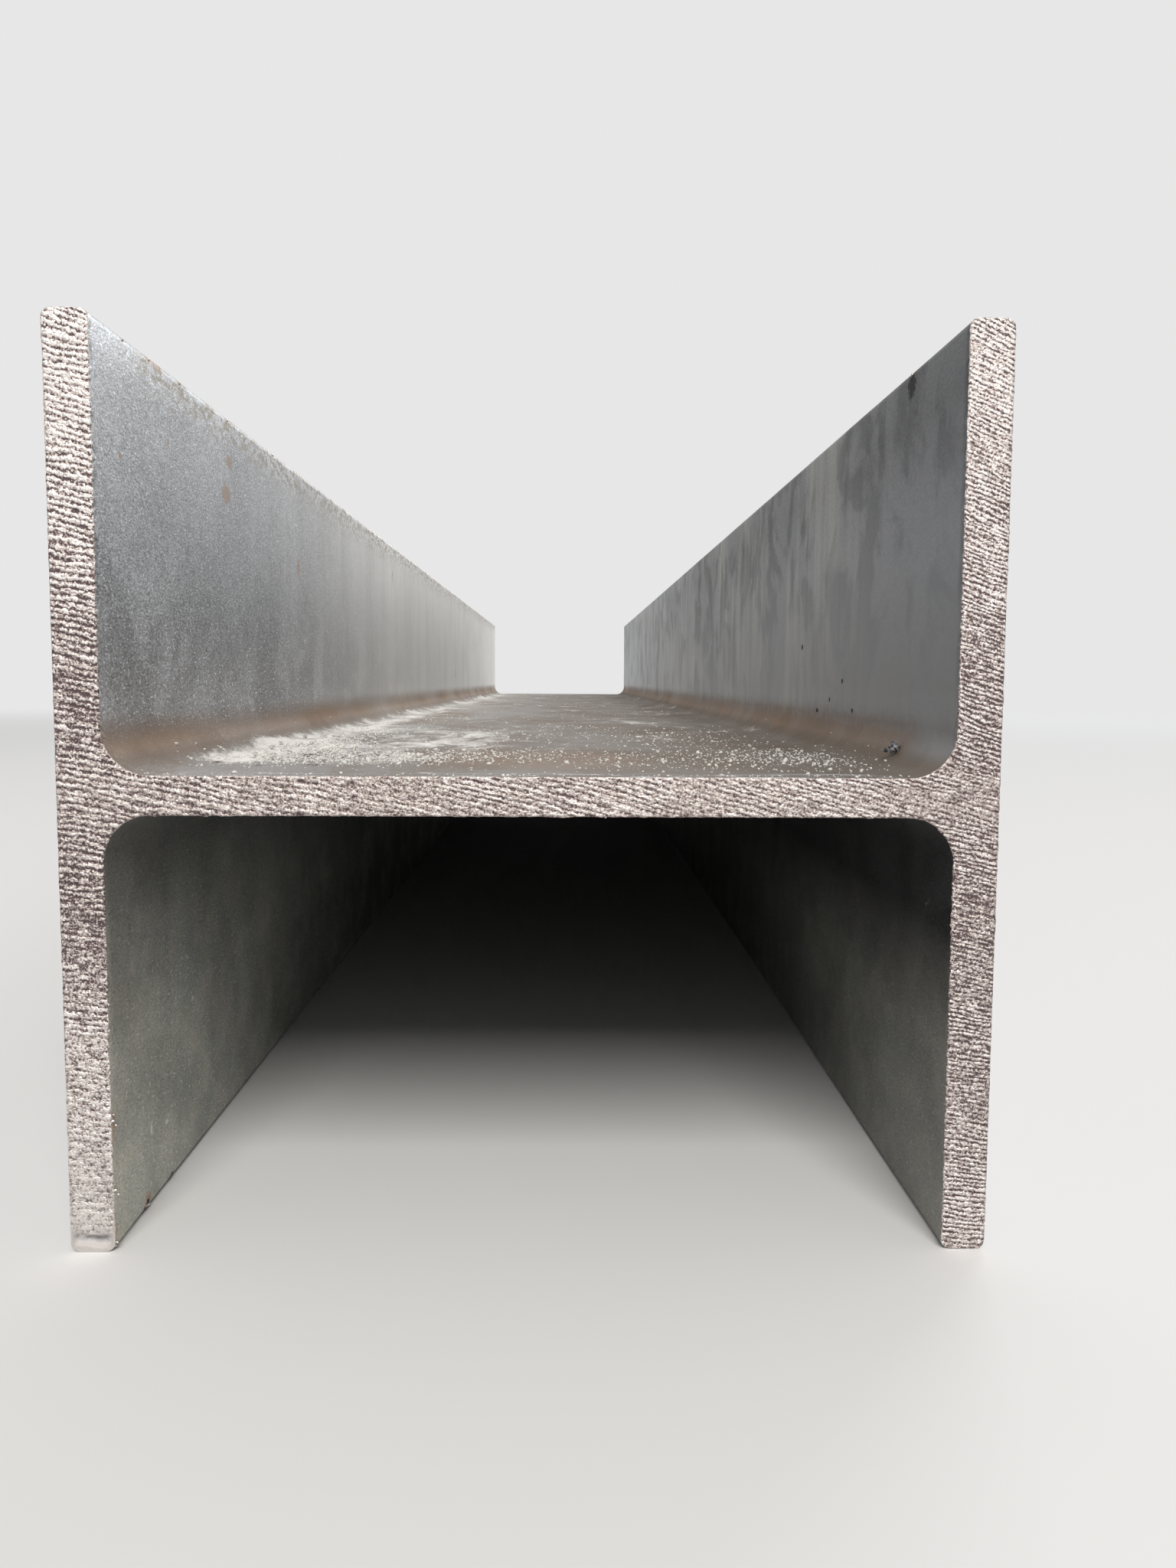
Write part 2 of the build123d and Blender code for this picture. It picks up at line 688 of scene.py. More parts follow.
def drained_dish(x, height):
    """1 in the smooth zinc at the left toe and 0 outside, and its relief: a hollow over a lip.

    Both are bells of the height, e to the power -d2, and a slow wave lifts and lowers them.
    """
    wave = bell_wave * flat_noise(x, 0, 1.7, 1, 31)
    across = np.clip((dish_half - np.abs(x - dish_middle)) / dish_side, 0, 1)
    hollow, lip = (np.exp(-((height - middle - wave) / bell_width) ** 2) * across
                   for middle in (hollow_height, lip_height))
    ragged = dish_ragged * flat_noise(x, height, 1.2, 0.9, 32)
    inside = np.clip((dish_top + ragged - height) / dish_fade, 0, 1) * (x < 0)
    return inside, lip_rise * lip - hollow_depth * hollow


def end_rings(end, seed):
    """Places of one end and its strokes: the face, and two loops that turn over the arris.

    The way in is +1 along the length at the near end and -1 at the far end. Calm is how smooth
    the zinc froze: half at the foot of one flange, less the higher, and wholly in the dish.
    Where it is half calm the relief is cut most.
    """
    inwards = 1 if end == near_end else -1
    turns, strength, dashes, depth = stroke_relief(face_x * inwards, face_z, seed)
    height = face_z + web_middle
    calm = 0.5 * np.exp(-np.maximum(height, 0) / smooth_foot) * (face_x * inwards < 0)
    if end == near_end:
        dish, dish_depth = drained_dish(face_x, height)
        depth = depth * (1 - dish) + dish_depth * dish
        # In the dish its relief is also kept in the dashes, which the finish paints as shade in the
        # hollow and highlight on the lip.
        dashes = dashes * (1 - dish) + dish_depth / dish_dash * dish
        calm = np.maximum(calm, dish)
    strength = strength * (1 - calm)
    depth = depth * (1 - half_calm_cut * calm * (1 - calm) * 4)

    rim_distance = settle(face_x[rim], face_z[rim], section.shrunk(arris))
    teeth = torn_edge(rim_distance, rim_out_x, rim_out_z, seed + 5) * (1 - calm[rim])
    loops = [np.stack([face_x, end - inwards * depth, face_z], axis=1)]
    for turn, share in ((np.pi / 4, 1.0), (np.pi / 2, 0.6)):
        out = arris * np.sin(turn) + share * teeth
        back = arris * (1 - np.cos(turn)) - depth[rim] * np.cos(turn) ** 2
        loops.append(np.stack([
            face_x[rim] + rim_out_x * out,
            end + inwards * back,
            face_z[rim] + rim_out_z * out,
        ], axis=1))
    places = np.concatenate(loops)
    places[:, 2] += web_middle
    # Rims get a painted highlight through the dashes, the brighter where they face up.
    rim_highlight = 0.5 + 1.0 * np.clip(rim_out_z, 0, 1)
    return places, {
        "turns": np.concatenate([turns, turns[rim], turns[rim]]),
        "strength": np.concatenate([strength, 0.4 * strength[rim], 0 * strength[rim]]),
        "dashes": np.concatenate([dashes, rim_highlight, rim_highlight]),
        "calm": np.concatenate([calm, calm[rim], calm[rim]]),
    }


near_places, near_strokes = end_rings(near_end, seed=11)
far_places, far_strokes = end_rings(far_end, seed=47)
print("Each end:", len(near_places), "places")

# %% Join everything and make the object
def long_places():
    """The coarse loops: the outline at each station, pushed out by the zinc's swell."""
    x, z, out_x, out_z = outline_at(coarse_distance, section)
    y = np.linspace(near_end + band, far_end - band, stations)[:, None]
    swell = zinc_swell(x, y, z)
    return np.stack([x + out_x * swell, y + 0 * x, z + web_middle + out_z * swell], axis=-1)


def steel_mesh():
    """One closed mesh, with its finish's number on each face and the strokes as attributes."""
    long = long_places()
    loops = np.arange(long.shape[0] * long.shape[1]).reshape(long.shape[:2]) + 2 * len(near_places)
    first_loop = len(face_x) + np.arange(len(rim))
    near_loops = [rim, first_loop, first_loop + len(rim)]
    far_loops = [loop + len(near_places) for loop in near_loops]
    fine_distance = settle(
        face_x[rim] + rim_out_x * arris, face_z[rim] + rim_out_z * arris, section)

    sawn = [face_quads, face_quads[:, ::-1] + len(near_places)]
    sawn += [hoop(*near_loops[:2]), hoop(*near_loops[1:])]
    sawn += [hoop(far_loops[1], far_loops[0]), hoop(far_loops[2], far_loops[1])]
    rolled = hoop(loops[:-1], loops[1:]).reshape(-1, 4)
    near_band = stitch(near_loops[2], fine_distance, loops[0], coarse_distance)
    far_band = stitch(far_loops[2], fine_distance, loops[-1], coarse_distance)

    places = np.concatenate([near_places, far_places, long.reshape(-1, 3)])
    places[:, 2] = np.maximum(places[:, 2], 0)
    parts = [*sawn, rolled, near_band, far_band[:, ::-1]]
    mesh = bpy.data.meshes.new("galvanised_h_beam")
    faces = [face for part in parts for face in part.tolist()]
    mesh.from_pydata(places, [], faces, shade_flat=False)
    sawn_faces = sum(len(part) for part in sawn)
    finish = (np.arange(len(faces)) < sawn_faces).astype(np.int32)
    mesh.polygons.foreach_set("material_index", finish)
    for name in near_strokes:
        values = np.concatenate([near_strokes[name], far_strokes[name], np.zeros(loops.size)])
        attribute = mesh.attributes.new(name, "FLOAT", "POINT")
        attribute.data.foreach_set("value", values.astype(np.float32))
    return mesh


steel = new_object("galvanised_h_beam", steel_mesh())
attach(steel, "root")
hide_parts("h_beam")
steel.data.calc_loop_triangles()
print("Steel:", len(steel.data.loop_triangles), "triangles")

# %% [markdown]
# ## White ash on the web
# When a bar leaves the zinc bath, white ash from the flux falls on it and stays as powder and
# crumbs. It lies thickest near the left root and thins out over the web. Each crumb here is a
# ball of 20 faces, squashed, turned and sunk a little, and all of them together are one mesh.
# They lie in drifts, in small heaps, along the left root and at the sawn edge, and a few stick to
# the left flange. The finest powder is left to the finish.

# %% Shape crumbs from one small ball
def ball():
    """Corners and faces of an icosahedron: three golden rectangles at right angles."""
    long = (1 + 5 ** 0.5) / 2
    corners = np.array([
        [-1, long, 0], [1, long, 0], [-1, -long, 0], [1, -long, 0],
        [0, -1, long], [0, 1, long], [0, -1, -long], [0, 1, -long],
        [long, 0, -1], [long, 0, 1], [-long, 0, -1], [-long, 0, 1],
    ])
    faces = np.array([
        [0, 11, 5], [0, 5, 1], [0, 1, 7], [0, 7, 10], [0, 10, 11],
        [1, 5, 9], [5, 11, 4], [11, 10, 2], [10, 7, 6], [7, 1, 8],
        [3, 9, 4], [3, 4, 2], [3, 2, 6], [3, 6, 8], [3, 8, 9],
        [4, 9, 5], [2, 4, 11], [6, 2, 10], [8, 6, 7], [9, 8, 1],
    ])
    return corners / np.hypot(1, long), faces


def crumbs_mesh(name, centres, sizes, flatness, chance):
    """One mesh of many balls. Each corner moves in or out by chance, and each ball is turned."""
    corners, faces = ball()
    rough = corners * chance.uniform(0.5, 1.35, (len(centres), len(corners), 1))
    spin = chance.uniform(0, 2 * np.pi, len(centres))[:, None]
    x = rough[..., 0] * np.cos(spin) - rough[..., 1] * np.sin(spin)
    y = rough[..., 0] * np.sin(spin) + rough[..., 1] * np.cos(spin)
    balls = np.stack([x, y, rough[..., 2] * flatness], axis=-1) * sizes[:, None, None]
    places = (centres[:, None] + balls).reshape(-1, 3)
    many = (faces[None] + np.arange(len(centres))[:, None, None] * len(corners)).reshape(-1, 3)
    mesh = bpy.data.meshes.new(name)
    mesh.from_pydata(places, [], many.tolist(), shade_flat=False)
    return mesh


def inner_floor(x):
    """Height of the web's upper face, or of the root's arc beside it.

    The arc is its centre's height less the square root of r2 - d2.
    """
    past = np.clip(np.abs(x) - (section.inner - section.root), 0, section.root)
    return web_top + section.root - np.sqrt(section.root ** 2 - past ** 2)


def scatter(middle, spread, count, chance):
    """Places around a middle, thinning out evenly to all sides. Sizes are in millimetres."""
    return np.array(middle) * MM + chance.normal(0, 1, (count, 2)) * np.array(spread) * MM


# %% Choose where the ash lies
usual_crumb, smallest_crumb, largest_crumb = 0.15 * MM, 0.06 * MM, 0.6 * MM
root_crumbs, edge_crumbs, stuck_crumbs = 600, 170, 260
crumbs_in_heap, heap_spread = 14, 0.45 * MM
wall_gap, end_gap = 0.6 * MM, 1.2 * MM
drifts = [
    # middle and spread in millimetres, and how many crumbs
    ((-46, -513), (9, 7), 700), ((-34, -502), (12, 10), 800), ((-52, -480), (6, 16), 520),
    ((-52, -430), (6, 30), 400), ((-48, -340), (9, 70), 320), ((-20, -503), (11, 12), 600),
    ((-4, -486), (12, 12), 240), ((0, -405), (30, 30), 520), ((14, -518), (14, 12), 160),
    ((36, -505), (14, 16), 520), ((54, -500), (6, 16), 420), ((40, -440), (15, 45), 480),
    ((8, -348), (10, 8), 90), ((10, -255), (30, 60), 200), ((47, -156), (6, 40), 60),
    ((-40, -60), (16, 160), 240), ((10, 120), (30, 200), 200), ((-50, 320), (9, 110), 160),
]
heap_drifts = [((-44, -503), (9, 12), 60), ((-50, -455), (6, 26), 40)]


def loose_spots(chance):
    """Places on the web: the drifts, a strip along the left root, and the sawn edge."""
    spots = [scatter(*drift, chance) for drift in drifts]
    spots.append(MM * np.stack([
        chance.normal(-60, 2.8, root_crumbs), chance.uniform(-500, 546, root_crumbs)], axis=1))
    spots.append(MM * np.stack([
        chance.uniform(-64, 64, edge_crumbs), chance.uniform(-548.5, -544.5, edge_crumbs)], axis=1))
    spots = np.concatenate(spots)
    across, along = np.abs(spots).T
    return spots[(across < section.inner - wall_gap) & (along < far_end - end_gap)]


def stuck_places(chance):
    """Places on the left flange's inner face, ever fewer the higher."""
    return np.stack([
        np.full(stuck_crumbs, -section.inner + 0.03 * MM),
        MM * chance.uniform(-535, -380, stuck_crumbs),
        web_top + MM * (7 + chance.exponential(7, stuck_crumbs)),
    ], axis=1)


def heaped_places(chance):
    """Places in small heaps, each one a little cloud that rests on the web or the root."""
    heaps = np.concatenate([scatter(*drift, chance) for drift in heap_drifts])
    flat = heaps[:, None] + chance.normal(0, heap_spread, (len(heaps), crumbs_in_heap, 2))
    height = web_top + MM * chance.uniform(0.1, 0.9, (len(heaps), crumbs_in_heap, 1))
    places = np.concatenate([flat, height], axis=-1).reshape(-1, 3)
    places[:, 2] = np.maximum(places[:, 2], inner_floor(places[:, 0]))
    return places


print("Ash lies in", len(drifts), "drifts and", len(heap_drifts), "groups of heaps")

# %% Lay the ash
chance = np.random.default_rng(5)
spots = loose_spots(chance)
loose_size = usual_crumb * np.exp(chance.normal(0, 0.5, len(spots)))
loose_size = np.clip(loose_size, smallest_crumb, largest_crumb)
loose = np.column_stack([spots, inner_floor(spots[:, 0]) + 0.25 * loose_size])
stuck, heaped = stuck_places(chance), heaped_places(chance)
crumb_sizes = np.concatenate([
    loose_size,
    MM * chance.uniform(0.06, 0.20, len(stuck)),
    MM * chance.uniform(0.14, 0.34, len(heaped)),
])
crumb_places = np.concatenate([loose, stuck, heaped])
ash_crumbs = new_object(
    "ash_crumbs", crumbs_mesh("ash_crumbs", crumb_places, crumb_sizes, 0.75, chance))
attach(ash_crumbs, "root")
print("Ash:", len(crumb_places), "crumbs")

# %% [markdown]
# ## Beads and burrs of zinc
# Zinc that drips off an edge leaves small beads, and a saw leaves burrs that the zinc thickens.
# They are crumbs again, but larger, rounder and few, and each one has its own place. A clump of
# them in the right root is a lump of dirty zinc.

# %% Set the beads and burrs
inner, top, under = section.inner / MM, 2 * section.half_width / MM, web_under / MM
left_beads = np.array([
    # x from the left flange's inner face, then y, z and size, all in millimetres
    (-0.2, -535.0, top - 1.0, 0.45), (-0.2, -522.0, top - 0.9, 0.60),
    (-0.2, -519.5, top - 1.1, 0.40), (-0.2, -505.0, top - 0.9, 0.50),
    (-0.2, -472.0, top - 1.0, 0.50), (-0.2, -431.0, top - 1.0, 0.45),
    (0.1, -549.6, 22.4, 0.62), (0.6, -549.5, 21.5, 0.42), (0.3, -549.5, 23.4, 0.38),
    (0.2, -549.4, 10.4, 0.55), (0.7, -549.5, 9.8, 0.36), (0.0, -549.5, 11.5, 0.34),
    (-0.4, -549.3, 0.9, 0.62), (0.2, -549.4, 1.5, 0.45), (-0.6, -534.3, 1.2, 0.95),
    (-0.4, -533.0, 0.6, 0.55), (0.0, -549.6, 37.5, 0.34), (0.0, -549.6, 41.8, 0.38),
])
other_beads = np.array([
    # x, y, z and size in millimetres: the right top edge, and three under the web's edge
    (inner, -518.0, 151.2, 0.40), (12.0, -549.6, under, 0.38),
    (-31.0, -549.6, under + 0.1, 0.34), (-47.0, -549.6, under + 0.1, 0.30),
])
lump_crumbs, lump_spread = 14, (0.75, 0.75, 0.65, 0.15)
lump = (inner - 2.1, -520.4, 82.9, 0.80) + chance.normal(0, lump_spread, (lump_crumbs, 4))
bead_table = np.concatenate([left_beads + (-inner, 0, 0, 0), other_beads, lump])
bead_places, bead_sizes = bead_table[:, :3] * MM, bead_table[:, 3] * MM
zinc_beads = new_object(
    "zinc_beads", crumbs_mesh("zinc_beads", bead_places, bead_sizes, 0.8, chance))
rounder = zinc_beads.modifiers.new("rounder", "SUBSURF")
rounder.levels = rounder.render_levels = 1
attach(zinc_beads, "root")
print("Beads:", len(bead_table))

# %% [markdown]
# ## Effects that the finishes share
# Hot dip zinc is never one colour. It has a fine crystal grain, streaks where it ran off, clouds
# where it dulled, and a few specks of rust. Glints are painted on the grain as white spots: a
# painted highlight where a crystal would catch the light. Each effect is a shader group made from
# a function, so that a finish can use it with its own scale. All of them read Object coordinates,
# which are metres here, so a scale of 1000 makes features of a millimetre.

# %% Read places and noise
def noise(place, scale, detail=2.0, roughness=0.5, distortion=0.0):
    """A Noise texture's value, mostly from 0.25 to 0.75."""
    return worked("ShaderNodeTexNoise", {"Vector": place, "Scale": scale, "Detail": detail,
                                         "Roughness": roughness, "Distortion": distortion}, "Fac")


def swing(place, scale, detail, roughness, reach):
    """Noise that swings evenly from minus the reach to the reach."""
    return noise(place, scale, detail, roughness).stretch(0.3, 0.7, -reach, reach)


def drawn(place, *factors):
    """The place with each part multiplied, which draws a pattern out along the smaller ones."""
    return vector_calc("MULTIPLY", place, factors)


def object_place(tree):
    """The place on the object, in metres, as a vector and as its three parts."""
    place = Value(tree, add(tree, "ShaderNodeTexCoord").outputs["Object"])
    parts = add(tree, "ShaderNodeSeparateXYZ", {0: place}).outputs
    return place, *(Value(tree, part) for part in parts)


# %% Build the shared effects
def zinc_grain_and_glints(tree, scale, glint_bar):
    """Fine crystal grain as a tone from -1 to 1, and a mask of painted glints where a crystal would
    catch the light.
    """
    place = drawn(object_place(tree)[0], 1.0, 0.5, 1.0)
    bright = noise(place, scale * 0.8, 1.0, 0.4)
    return {"tone": swing(place, scale, 2.0, 0.6, 1.0),
            "glint": (bright - glint_bar).ease(0.0, 0.05)}


def drain_streaks(tree, scale):
    """Streaks that cross the bar, where zinc ran off: noise drawn out across and up."""
    place = object_place(tree)[0]
    wide = noise(drawn(place, 0.10, 0.35, 0.10), scale, 3.0, 0.6)
    thin = noise(drawn(place, 0.08, 1.30, 0.08), scale, 2.0, 0.5)
    return {"tone": (wide * 0.65 + thin * 0.35).stretch(0.36, 0.64, -1.0, 1.0)}


def dull_clouds(tree, scale, cover):
    """Clouds of dull zinc: a soft tone from -1 to 1, and a mask whose cover can be set."""
    cloud = noise(object_place(tree)[0], scale, 4.0, 0.62, 0.5)
    bar = cover.between(0.72, 0.28)
    return {"tone": cloud.stretch(0.3, 0.7, -1.0, 1.0), "mask": (cloud - bar).ease(-0.05, 0.07)}


def rust_specks(tree, scale, share):
    """Small round specks in a few of the cells, their rims broken by noise."""
    place = object_place(tree)[0]
    inputs = {"Vector": drawn(place, 1.0, 1.0, 0.6), "Scale": scale}
    cells = add(tree, "ShaderNodeTexVoronoi", inputs).outputs
    parts = add(tree, "ShaderNodeSeparateColor", {"Color": cells["Color"]}).outputs
    luck, size = Value(tree, parts[0]), Value(tree, parts[1])
    ragged = Value(tree, cells["Distance"]) + swing(place, 900.0, 3.0, 0.5, 0.07)
    near = calc("DIVIDE", ragged, size.between(0.05, 0.16)).ease(1.0, 0.3)
    return {"mask": calc("GREATER_THAN", luck, 1.0 - share) * near}


def fine_strokes(tree, pitch_scale, length_ratio):
    """Saw strokes finer than the mesh holds, along the same sloping lines as its relief."""
    _, x, y, z = object_place(tree)
    height = z - float(web_middle)
    start = height * slope_lower + stroke_slope
    bend = height * (slope_twist / 2) + slope_change / 2
    along = (x + height * stroke_slope) * length_ratio
    across = height - x * (start + x * bend)
    place = worked("ShaderNodeCombineXYZ", {0: along, 1: across, 2: y})
    return {"tone": swing(place, pitch_scale, 2.0, 0.6, 1.0)}


def ash_dust(tree, cover, scale):
    """Powdery ash: a mask of fine grains that thickens from nothing at cover 0 to a crust at 1."""
    place = object_place(tree)[0]
    grains = noise(place, scale, 4.0, 0.8)
    drifts = noise(drawn(place, 1.0, 0.35, 1.0), 120.0, 5.0, 0.65, 0.6)
    bar = cover.between(0.68, 0.34)
    return {"mask": (grains * 0.4 + drifts * 0.6 - bar).ease(-0.05, 0.13)}


grain_and_glint_group = make_group(zinc_grain_and_glints, scale=3200.0, glint_bar=0.66)
streak_group = make_group(drain_streaks, scale=110.0)
cloud_group = make_group(dull_clouds, scale=42.0, cover=0.45)
rust_group = make_group(rust_specks, scale=60.0, share=0.10)
stroke_group = make_group(fine_strokes, pitch_scale=2100.0, length_ratio=0.25)
dust_group = make_group(ash_dust, cover=0.0, scale=900.0)
print("Effects:", [group.name for group in bpy.data.node_groups])

# %% [markdown]
# ## Finish of the rolled faces
# Zinc on a rolled face froze slowly and smoothly: grey, with a grain like fine sand, streaks and
# clouds. Brown stains lie along the roots and on the web, where water stood. Below the web the
# air is damp, so the coat is duller there, with a green and beige cast. Painted shade darkens it
# towards the web and towards the right. The right wall over the web lies in shade, so it is
# painted bluer, and darker towards its top.
# The finish is built like a painting: a coat, and then layers, each with a mask that says where
# it lies.

# %% Choose colours, and where single marks lie
# Black is painted shade on the right wall and under the web, and the dark of the grain under the
# web.
black = grey(0.0)
zinc_grey = (0.44, 0.445, 0.455, 1.0)
# The white of painted glints, a painted highlight.
painted_glint_white = (0.86, 0.87, 0.90, 1.0)
pale_zinc = (0.78, 0.765, 0.73, 1.0)
dull_green = (0.46, 0.49, 0.45, 1.0)
dull_beige = (0.70, 0.675, 0.58, 1.0)
# This blue is painted shade on the right wall, and the colour of the lump's crust on the beads.
shade_and_crust_blue = (0.35, 0.365, 0.39, 1.0)
stain_brown = (0.225, 0.135, 0.072, 1.0)
rust_orange = (0.42, 0.19, 0.05, 1.0)
pit_dark = (0.035, 0.033, 0.035, 1.0)
rim_dirt = (0.27, 0.235, 0.185, 1.0)
web_grey = (0.12, 0.088, 0.058, 1.0)
ash_white = (0.88, 0.865, 0.83, 1.0)
ash_grey = (0.62, 0.61, 0.58, 1.0)

# Ovals on the faces: centre and half sizes in millimetres.
pits = [
    ((68.9, -518.0, 149.2), (2, 2.4, 2.2)), ((68.9, -468.0, 95.0), (1, 0.8, 0.6)),
    ((68.9, -478.0, 88.5), (1, 0.9, 0.5)), ((68.9, -441.0, 87.6), (1, 1.2, 0.6)),
    ((68.9, -455.0, 90.5), (1, 0.7, 0.5)), ((68.9, -420.0, 104.0), (1, 1.0, 0.7)),
    ((66.3, -518.6, 83.6), (0.8, 0.7, 1.4)), ((-68.9, -534.3, 0.6), (2, 1.4, 1.6)),
    ((-68.9, -520.4, 0.6), (2, 1.2, 0.8)),
]
dabs = [
    ((-68.9, -474.5, 135.0), (1, 3.2, 2.1)), ((-68.9, -537.6, 131.7), (1, 0.9, 0.5)),
    ((-68.9, -471.6, 142.3), (1, 2.4, 1.4)), ((-68.9, -519.0, 151.4), (2, 5.0, 1.2)),
    ((-68.9, -534.0, 1.6), (2, 1.8, 1.8)), ((-69.4, -549.6, 3.2), (1, 1.0, 2.4)),
    ((-68.9, -549.4, 21.0), (1, 0.8, 3.0)),
]
stained = [((1.0, -506.0, 79.4), (20, 28, 6))]
chalk = [
    ((-68.9, -531.2, 13.8), (1, 0.6, 1.2)), ((-68.9, -523.0, 12.1), (1, 0.9, 0.5)),
    ((-68.9, -506.0, 31.0), (1, 0.9, 0.5)),
]
print("Single marks:", len(pits) + len(dabs) + len(stained) + len(chalk))


# %% Find the parts of the beam, and mark single places
def fill(shader, height=None, bump_distance=MM, **results):
    """Links results to the Principled node, and a height as its bump."""
    if height is not None:
        inputs = {"Height": height, "Distance": bump_distance, "Strength": 1.0}
        results["Normal"] = worked("ShaderNodeBump", inputs)
    for name, value in results.items():
        value.tree.links.new(value.socket, shader.inputs[name.replace("_", " ")])


def masks_on_beam(tree):
    """The place, and masks that are 1 in one part of the beam and 0 elsewhere."""
    place, x, y, z = object_place(tree)
    sideways = abs(x)
    within = sideways.ease(section.inner + 2.5 * MM, section.inner + 0.5 * MM)
    above = z.ease(web_middle - 1 * MM, web_middle + 1 * MM)
    upper = within * above
    at_flange = sideways.ease(section.inner - section.root, section.inner - 2 * MM)
    return SimpleNamespace(
        place=place, x=x, y=y, z=z, sideways=sideways, within=within, upper=upper,
        at_flange=at_flange,
        below=within * (1.0 - above),
        web=upper * z.ease(web_top + 4 * MM, web_top + 1 * MM),
        right_wall=upper * x.ease(section.inner - 4 * MM, section.inner),
        root=at_flange * z.near_to(web_top + 2 * MM, 9 * MM),
        ragged=swing(place, 1500.0, 3.0, 0.5, 0.4),
    )


def listed(on, table):
    """1 inside any of the listed ovals, and 0 outside.

    The distance from a centre is divided by the half sizes, and noise makes its rim ragged.
    """
    total = 0.0
    for centre, halves in table:
        away = vector_calc("SUBTRACT", on.place, tuple(np.array(centre) * MM))
        away = vector_calc("DIVIDE", away, tuple(np.array(halves) * MM))
        mask = (vector_calc("LENGTH", away) + on.ragged).ease(1.2, 0.7)
        total = calc("MAXIMUM", mask, total)
    return total


# %% Colour the coat over and under the web
def coat_colour(tree, on, grain, streaks, clouds):
    """Zinc under grain, streaks and clouds, with painted glints where a crystal would catch the
    light.
    """
    shade = (grain.tone * on.right_wall.between(0.46, 0.14)
             + streaks.tone * on.right_wall.between(0.09, 0.05) + clouds.tone * 0.15 + 1.0)
    shades = worked("ShaderNodeCombineColor", {0: shade, 1: shade, 2: shade})
    # Painted glints, fewer under the web and on the shaded right wall, and larger painted sparkles
    # on the left, low over the web.
    glints = grain.glint * on.below.between(0.8, 0.35) * on.right_wall.between(1.0, 0.25)
    painted_sparkles = place_group(tree, grain_and_glint_group, scale=2300.0, glint_bar=0.65).glint * on.upper
    painted_sparkles = painted_sparkles * on.x.ease(0.0, -section.inner / 2) * on.z.ease(135 * MM, 95 * MM)
    coat = mix(1.0, zinc_grey, shades, "MULTIPLY")
    return laid(coat, (glints, painted_glint_white), (painted_sparkles, painted_glint_white))


def wall_layers(on, streaks):
    """Over the web: painted shade makes the right wall bluer and darker upwards, with beige
    streaks, and the left wall is paler.
    """
    higher = on.z.stretch(92 * MM, 142 * MM, 0.05, 0.82) * on.y.stretch(-0.200, 0.150, 1.0, 0.45)
    paler = on.x.ease(0.0, -section.inner) * on.y.ease(-0.470, -0.200)
    further = on.y.ease(near_end + 40 * MM, near_end + 130 * MM)
    return [
        # Painted shade: the right wall bluer, and darker towards its top, most near the front.
        (on.right_wall * 0.75, shade_and_crust_blue),
        (on.right_wall * higher, black),
        (on.upper * paler * streaks.tone.stretch(-1.0, 1.0, 0.7, 1.0), pale_zinc),
        (on.right_wall * further * streaks.tone.stretch(-0.2, 1.0, 0.0, 0.25), dull_beige),
    ]


def damp_colour(on, frost):
    """Under the web: green and beige, blotched and grained, with painted glints, and painted shade
    that darkens it towards the web and to the right.
    """
    front_edge = on.y.ease(near_end + 34 * MM, near_end + 2 * MM)
    beige = noise(on.place, 90.0, 5.0, 0.75).stretch(0.40, 0.62, 0.15, 0.75) + front_edge * 0.35
    blotch = noise(on.place, 55.0, 3.0, 0.6).stretch(0.38, 0.60, 0.0, 0.24)
    # Painted shade: darker towards the web's underside and towards the right.
    deep = on.z.stretch(34 * MM, 70 * MM, 0.0, 0.82) + on.x.stretch(0.0, section.inner, 0.0, 0.55)
    return laid(
        mix(beige, dull_green, dull_beige),
        (blotch, pit_dark),
        (frost.tone.stretch(-1.0, 0.2, 0.4, 0.0), black),
        (frost.glint * 0.6, painted_glint_white),
        (deep, black),
    )


# %% Mask water stains, dirt and ash dust
def water_stain(on):
    """Where water stood: a band along each root, and pools with darker rims on the web."""
    uneven = swing(on.place, 420.0, 3.0, 0.7, 1.4 * MM) * on.x.ease(0.0, section.inner)
    from_front = on.y.ease(near_end + 14 * MM, near_end + 32 * MM)
    root_band = (on.upper * on.at_flange * (on.z + uneven).near_to(web_top + 4.5 * MM, 7 * MM)
                 * noise(on.place, 14.0, 1.0).stretch(0.3, 0.7, 0.6, 1.0)
                 * on.x.ease(-10 * MM, 10 * MM).between(1.0, from_front))
    water = noise(drawn(on.place, 1.0, 0.45, 0.0), 26.0, 4.0, 0.6, 0.4)
    mottle = noise(on.place, 240.0, 4.0, 0.7).stretch(0.35, 0.65, 0.45, 1.0)
    pool = water.ease(0.40, 0.68) + water.near_to(0.5, 0.02) * 0.22
    return calc("MAXIMUM", root_band, pool * on.web * mottle * 0.9)


def rim_mask(on):
    """Specks of dirt along the top edge of the left flange."""
    specks = noise(drawn(on.place, 1.0, 0.5, 1.0), 700.0, 4.0, 0.75).ease(0.44, 0.60)
    return (specks * on.within * on.x.ease(-section.inner + 2 * MM, -section.inner)
            * on.z.ease(141 * MM, 151 * MM) * on.y.ease(near_end + 8 * MM, near_end + 26 * MM))


